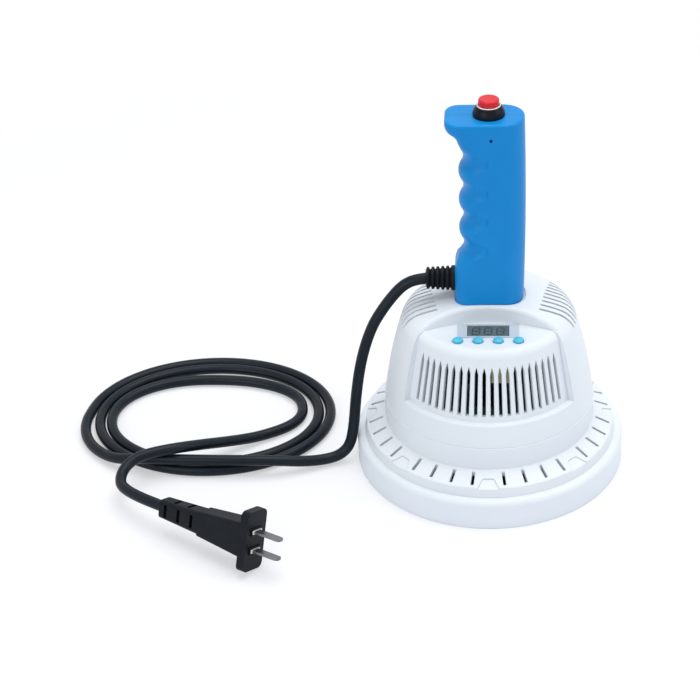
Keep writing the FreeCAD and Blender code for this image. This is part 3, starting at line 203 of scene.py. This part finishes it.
# what the finishes share, where they don't say otherwise
anyFinish = {
    "mottleDetail": 3,
    "grainDetail": 4,
    "toneSpan": (0.35, 0.65),
    "roughSpread": 0.05,
    "grainDepth": 0.0002,
    "edgeSamples": 6,
}


def mixFinish(name):
    look = finishLook[name]
    material = bpy.data.materials.new(name)
    material.use_nodes = True
    tree = material.node_tree
    shader = tree.nodes["Principled BSDF"]
    where = tree.nodes.new("ShaderNodeTexCoord")
    mapping = tree.nodes.new("ShaderNodeMapping")
    mapping.inputs["Scale"].default_value = look.get("stretch", (1, 1, 1))
    tree.links.new(where.outputs["Object"], mapping.inputs["Vector"])
    mottle = tree.nodes.new("ShaderNodeTexNoise")
    mottle.inputs["Scale"].default_value = look["mottle"]
    mottle.inputs["Detail"].default_value = anyFinish["mottleDetail"]
    tree.links.new(mapping.outputs["Vector"], mottle.inputs["Vector"])
    tones = tree.nodes.new("ShaderNodeValToRGB")
    for stop, place, tone in zip(tones.color_ramp.elements, anyFinish["toneSpan"], ("tint", "tone")):
        stop.position = place
        stop.color = (*look[tone], 1)
    tree.links.new(mottle.outputs["Fac"], tones.inputs["Fac"])
    tree.links.new(tones.outputs["Color"], shader.inputs["Base Color"])
    fine = tree.nodes.new("ShaderNodeTexNoise")
    fine.inputs["Scale"].default_value = look["grain"]
    fine.inputs["Detail"].default_value = anyFinish["grainDetail"]
    tree.links.new(mapping.outputs["Vector"], fine.inputs["Vector"])
    sheen = tree.nodes.new("ShaderNodeMapRange")
    spread = look.get("roughSpread", anyFinish["roughSpread"])
    sheen.inputs["To Min"].default_value = look["rough"] - spread
    sheen.inputs["To Max"].default_value = look["rough"] + spread
    tree.links.new(fine.outputs["Fac"], sheen.inputs["Value"])
    tree.links.new(sheen.outputs["Result"], shader.inputs["Roughness"])
    bump = tree.nodes.new("ShaderNodeBump")
    bump.inputs["Strength"].default_value = look["lift"]
    bump.inputs["Distance"].default_value = anyFinish["grainDepth"]
    tree.links.new(fine.outputs["Fac"], bump.inputs["Height"])
    if "edge" in look:  # moulded edges catch the light softly
        soft = tree.nodes.new("ShaderNodeBevel")
        soft.samples = anyFinish["edgeSamples"]
        soft.inputs["Radius"].default_value = look["edge"]
        tree.links.new(soft.outputs["Normal"], bump.inputs["Normal"])
    tree.links.new(bump.outputs["Normal"], shader.inputs["Normal"])
    shader.inputs["Metallic"].default_value = look.get("metal", 0.0)
    shader.inputs["Specular IOR Level"].default_value = look.get("specular", 0.5)
    shader.inputs["Coat Weight"].default_value = look.get("coat", 0.0)
    return material


finish = {name: mixFinish(name) for name in finishLook}
print("finishes mixed:", len(finish))

# the nodes that wear each finish
wornBy = {
    "whitePlastic": ["base_ring", "dome_housing"],
    "bluePlastic": ["handle_front_shell", "handle_rear_shell"],
    "redPlastic": ["trigger_cap"],
    "cyanRubber": ["key_set", "key_down", "key_up", "key_start"],
    "blackPlastic": ["switch_bezel", "switch_body", "fan_frame", "fan_rotor", "bulk_capacitors",
                     "power_transistors", "key_switches"],
    "blackRubber": ["cord_boot", "plug_body"],
    "leadSkin": ["cord_free", "cord_coil", "cord_tail"],
    "paleRingAndGlint": ["switch_collar"],
    "palePlate": ["display_bezel"],
    "moduleGrey": ["display_module"],
    "darkGlass": ["display_glass"],
    "bladeSteel": ["plug_blades"],
    "steel": ["base_screws", "handle_screws", "handle_foot_screws", "board_screws", "fan_screws",
              "panel_screws", "switch_nut"],
    "aluminium": ["heatsink"],
    "copper": ["induction_coil"],
    "chokeCoat": ["filter_choke"],
    "ferrite": ["ferrite_bars"],
    "formerPlastic": ["coil_former"],
    "facePlate": ["sealing_face"],
    "circuitGreen": ["power_board", "control_board"],
    "brass": ["board_posts", "panel_posts", "fan_posts"],
    "relayYellow": ["relay"],
}


def dressNodes():
    for look, names in wornBy.items():
        for name in names:
            data = nodes[name].data
            data.materials.clear()
            data.materials.append(finish[look])
    bare = sorted(set(nodes) - {name for names in wornBy.values() for name in names})
    print("nodes dressed, bare:", bare)


dressNodes()

# meshes made here: edges under this angle in degrees shade smooth, and a bevel has this many steps
pieceMesh = {"smoothBelow": 35, "bevelSteps": 2}


def finishPiece(name, build, look):
    bmesh.ops.recalc_face_normals(build, faces=build.faces)
    mesh = bpy.data.meshes.new(name)
    build.to_mesh(mesh)
    build.free()
    mesh.shade_smooth()
    mesh.set_sharp_from_angle(angle=math.radians(pieceMesh["smoothBelow"]))
    mesh.materials.append(finish[look])
    piece = bpy.data.objects.new(name, mesh)
    scene.collection.objects.link(piece)
    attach(piece, "sealer")
    return piece


def bevelCorners(build, width, angle):
    sharp = [edge for edge in build.edges if edge.calc_face_angle(0) > math.radians(angle)]
    bmesh.ops.bevel(build, geom=sharp, offset=width, affect="EDGES", segments=pieceMesh["bevelSteps"],
                    profile=0.5, material=-1)


def spinProfile(corners, steps):
    low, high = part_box("switch_bezel")
    build = bmesh.new()
    rim = [build.verts.new((across, 0, low.z + z)) for across, z in corners]
    sides = [build.edges.new((rim[i - 1], rim[i])) for i in range(len(rim))]
    bmesh.ops.spin(build, geom=rim + sides, cent=(0, 0, 0), axis=(0, 0, 1), angle=2 * math.pi,
                   steps=steps, use_merge=True)
    bmesh.ops.translate(build, verts=build.verts, vec=((low.x + high.x) / 2, (low.y + high.y) / 2, 0))
    return build


# black bezel of the push button: radius and height of its round shoulder from the handle up, and its bore
buttonBezel = {
    "shoulder": [(0.01, 0), (0.01, 0.0013), (0.00985, 0.0024), (0.0095, 0.0036), (0.00895, 0.0048),
                 (0.0083, 0.0058), (0.0079, 0.0063), (0.00775, 0.0066)],
    "bore": 0.00764,
    "steps": 96,
}


def makeButtonBezel():
    shoulder, bore = buttonBezel["shoulder"], buttonBezel["bore"]
    build = spinProfile(shoulder + [(bore, shoulder[-1][1]), (bore, 0)], buttonBezel["steps"])
    bezel = finishPiece("buttonBezel", build, "blackPlastic")
    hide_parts("switch_bezel")


# pale ring round the push button, standing on the switch collar: its wall draws in at the foot and the top
buttonRing = {
    "inner": 0.00672,
    "outer": 0.00762,
    "footIn": 0.0003,
    "topIn": 0.0002,
    "rise": 0.00045,
    "edge": 0.0002,
    "sharpFrom": 30,
    "steps": 96,
}


def makeButtonRing():
    low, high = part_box("switch_bezel")
    inner, outer = buttonRing["inner"], buttonRing["outer"]
    foot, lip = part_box("switch_collar")[1].z - low.z, high.z - low.z
    top = lip + buttonRing["rise"]
    outside = [(outer - buttonRing["footIn"], foot), (outer, lip), (outer - buttonRing["topIn"], top)]
    build = spinProfile([(inner, foot), *outside, (inner, top)], buttonRing["steps"])
    bevelCorners(build, buttonRing["edge"], buttonRing["sharpFrom"])
    finishPiece("buttonRing", build, "paleRingAndGlint")


# unlit segments of a three-digit display, on the glass
digits = {
    "count": 3,
    "pitch": 0.0078,
    "width": 0.0046,
    "height": 0.0078,
    "bar": 0.0008,
    "gap": 0.00018,
    "lean": 0.08,
    "thick": 0.00006,
}


def barOutline(length, bar):
    half, tip = length / 2, bar / 2
    straight = half - tip
    return [(-half, 0), (-straight, tip), (straight, tip), (half, 0), (straight, -tip), (-straight, -tip)]


def makeDigits():
    low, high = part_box("display_glass")
    middle = (low + high) / 2
    width, height = digits["width"], digits["height"]
    flat = barOutline(width - digits["gap"] * 2, digits["bar"])
    tall = [(y, x) for x, y in barOutline(height / 2 - digits["gap"] * 2, digits["bar"])]
    bars = [(0, y, flat) for y in (-height / 2, 0, height / 2)]
    bars += [(x, y, tall) for x in (-width / 2, width / 2) for y in (-height / 4, height / 4)]
    build = bmesh.new()
    for i in range(digits["count"]):
        across = (i - (digits["count"] - 1) / 2) * digits["pitch"]
        for x0, y0, outline in bars:
            marks = [(across + x0 + x + (y0 + y) * digits["lean"], y0 + y) for x, y in outline]
            rim = [build.verts.new((middle.x + x, middle.y + y, high.z)) for x, y in marks]
            face = build.faces.new(rim)
            raised = bmesh.ops.extrude_face_region(build, geom=[face])["geom"]
            verts = [part for part in raised if isinstance(part, bmesh.types.BMVert)]
            bmesh.ops.translate(build, verts=verts, vec=(0, 0, digits["thick"]))
    finishPiece("displaySegments", build, "segmentInk")


# plug face: a raised collar and a shoulder round the root of each blade; the shoulders' pale colour is a
# painted glint along the blade roots
plugFace = {
    "start": (-0.2102, -0.0924, 0.018),  # the end of the lead
    "turn": (-30.8, 87.3, -20.0),  # degrees about Z, about Y and about the plug's own axis
    "out": 0.0744,  # from the start to the face
    "bladeSpan": 0.0127,
    "bladeHalf": (0.00085, 0.00325),
    "collarHalf": (0.0026, 0.0056),
    "collarRise": 0.0009,
    "shoulderHalf": (0.0013, 0.0047),
    "shoulderRise": 0.0013,
    "corner": 0.0009,
    "holeCorner": 0.0003,
    "cornerSteps": 5,
    "edge": 0.00025,
    "sharpFrom": 60,
}


def roundedRim(build, half, corner, across):
    start = bmesh.ops.create_grid(build, x_segments=1, y_segments=1, size=1)["verts"]
    bmesh.ops.scale(build, verts=start, vec=(*half, 1))
    bmesh.ops.translate(build, verts=start, vec=(across, 0, plugFace["out"]))
    bmesh.ops.bevel(build, geom=start, offset=corner, affect="VERTICES", segments=plugFace["cornerSteps"],
                    profile=0.5, material=-1)


def raiseFrame(build, hole, half, rise, across):
    roundedRim(build, half, plugFace["corner"], across)
    roundedRim(build, hole, plugFace["holeCorner"], across)
    rims = [edge for edge in build.edges if edge.is_boundary]
    sheets = list({edge.link_faces[0] for edge in rims})
    bmesh.ops.delete(build, geom=sheets, context="FACES_ONLY")
    ring = bmesh.ops.bridge_loops(build, edges=rims)["faces"]
    raised = bmesh.ops.extrude_face_region(build, geom=ring)["geom"]
    verts = [part for part in raised if isinstance(part, bmesh.types.BMVert)]
    bmesh.ops.translate(build, verts=verts, vec=(0, 0, rise))


def makePlugFace(name, hole, half, rise, look):
    yaw, pitch, roll = (math.radians(angle) for angle in plugFace["turn"])
    turn = Matrix.Rotation(yaw, 4, "Z") @ Matrix.Rotation(pitch, 4, "Y") @ Matrix.Rotation(roll, 4, "Z")
    pose = Matrix.Translation(plugFace["start"]) @ turn
    build = bmesh.new()
    for side in (-0.5, 0.5):
        raiseFrame(build, hole, half, rise, side * plugFace["bladeSpan"])
    bevelCorners(build, plugFace["edge"], plugFace["sharpFrom"])
    bmesh.ops.transform(build, verts=build.verts, matrix=pose)
    return finishPiece(name, build, look)


makeButtonBezel()
makeButtonRing()
makeDigits()
onPlug = [
    makePlugFace("bladeCollars", plugFace["shoulderHalf"], plugFace["collarHalf"], plugFace["collarRise"],
                 "blackRubber"),
    # the pale shoulders are a painted glint along each blade root
    makePlugFace("bladeShouldersPaintedGlint", plugFace["bladeHalf"], plugFace["shoulderHalf"], plugFace["shoulderRise"],
                 "paleRingAndGlint"),
]
print("button bezel and ring, display segments and plug face made")

mainsLead = layLead()
mainsLead.data.materials.append(finish["leadSkin"])
print("lead laid")

# white floor that keeps a faint shadow, white air, and soft lamps above, at the right and at the front left
studio = {
    "floorHalf": 6.0,
    "floorDrop": 0.0002,
    "paperTone": (0.86, 0.885, 0.94),
    "floorGlow": (0.46, 1.0),  # near the object, where its shadow falls, and past it
    "glowReach": (0.32, 0.72),  # where the first ends and the second begins
    "airGlow": (0.58, 1.0),  # as light on the object, and as it is seen
    "lamps": [  # name, place, aim, size and power
        ("overhead", (0.1, 0.15, 1.5), (0, 0, 0.05), 1.4, 15.0),
        ("rightSoft", (1.35, -0.2, 0.9), (0, 0, 0.1), 1.0, 5.0),
        ("frontFill", (-1.1, -1.5, 0.8), (-0.05, 0, 0.08), 1.3, 9.0),
    ],
}


def seenPlainly(tree):
    # 1 for what the camera sees straight, in a reflection or through glass, and 0 for the light on the object
    path = tree.nodes.new("ShaderNodeLightPath")
    either = tree.nodes.new("ShaderNodeMath")
    either.operation = "MAXIMUM"
    tree.links.new(path.outputs["Is Camera Ray"], either.inputs[0])
    tree.links.new(path.outputs["Is Glossy Ray"], either.inputs[1])
    seen = tree.nodes.new("ShaderNodeMath")
    seen.operation = "MAXIMUM"
    tree.links.new(either.outputs["Value"], seen.inputs[0])
    tree.links.new(path.outputs["Is Transmission Ray"], seen.inputs[1])
    return seen.outputs["Value"]


def layFloor():
    mesh = bpy.data.meshes.new("studioFloor")
    build = bmesh.new()
    bmesh.ops.create_grid(build, x_segments=1, y_segments=1, size=studio["floorHalf"])
    bmesh.ops.translate(build, verts=build.verts, vec=(0, 0, -studio["floorDrop"]))
    build.to_mesh(mesh)
    build.free()
    floor = bpy.data.objects.new("studioFloor", mesh)
    scene.collection.objects.link(floor)
    material = bpy.data.materials.new("floorPaper")
    material.use_nodes = True
    tree = material.node_tree
    tree.nodes.remove(tree.nodes["Principled BSDF"])
    paper = tree.nodes.new("ShaderNodeBsdfDiffuse")
    paper.inputs["Color"].default_value = (*studio["paperTone"], 1)
    glow = tree.nodes.new("ShaderNodeEmission")
    glow.inputs["Color"].default_value = (1, 1, 1, 1)
    where = tree.nodes.new("ShaderNodeTexCoord")
    reach = tree.nodes.new("ShaderNodeVectorMath")
    reach.operation = "LENGTH"
    tree.links.new(where.outputs["Object"], reach.inputs[0])
    level = tree.nodes.new("ShaderNodeMapRange")
    level.inputs["From Min"].default_value, level.inputs["From Max"].default_value = studio["glowReach"]
    level.inputs["To Min"].default_value, level.inputs["To Max"].default_value = studio["floorGlow"]
    tree.links.new(reach.outputs["Value"], level.inputs["Value"])
    share = tree.nodes.new("ShaderNodeMath")
    share.operation = "MULTIPLY"
    tree.links.new(seenPlainly(tree), share.inputs[0])
    tree.links.new(level.outputs["Result"], share.inputs[1])
    mix = tree.nodes.new("ShaderNodeMixShader")
    tree.links.new(share.outputs["Value"], mix.inputs["Fac"])
    tree.links.new(paper.outputs["BSDF"], mix.inputs[1])
    tree.links.new(glow.outputs["Emission"], mix.inputs[2])
    tree.links.new(mix.outputs["Shader"], tree.nodes["Material Output"].inputs["Surface"])
    mesh.materials.append(material)


def hangLamps():
    for name, place, aim, size, power in studio["lamps"]:
        data = bpy.data.lights.new(name, "AREA")
        data.shape = "DISK"
        data.size = size
        data.energy = power
        lamp = bpy.data.objects.new(name, data)
        lamp.location = place
        lamp.rotation_euler = (Vector(aim) - Vector(place)).to_track_quat("-Z", "Y").to_euler()
        scene.collection.objects.link(lamp)


def setWorld():
    world = bpy.data.worlds.new("studioAir")
    scene.world = world
    world.use_nodes = True
    tree = world.node_tree
    sky = tree.nodes["Background"]
    sky.inputs["Color"].default_value = (1, 1, 1, 1)
    level = tree.nodes.new("ShaderNodeMapRange")
    level.inputs["To Min"].default_value, level.inputs["To Max"].default_value = studio["airGlow"]
    tree.links.new(seenPlainly(tree), level.inputs["Value"])
    tree.links.new(level.outputs["Result"], sky.inputs["Strength"])


layFloor()
hangLamps()
setWorld()
scene.view_settings.view_transform = "Standard"
print("studio lit")

bpy.context.view_layer.update()
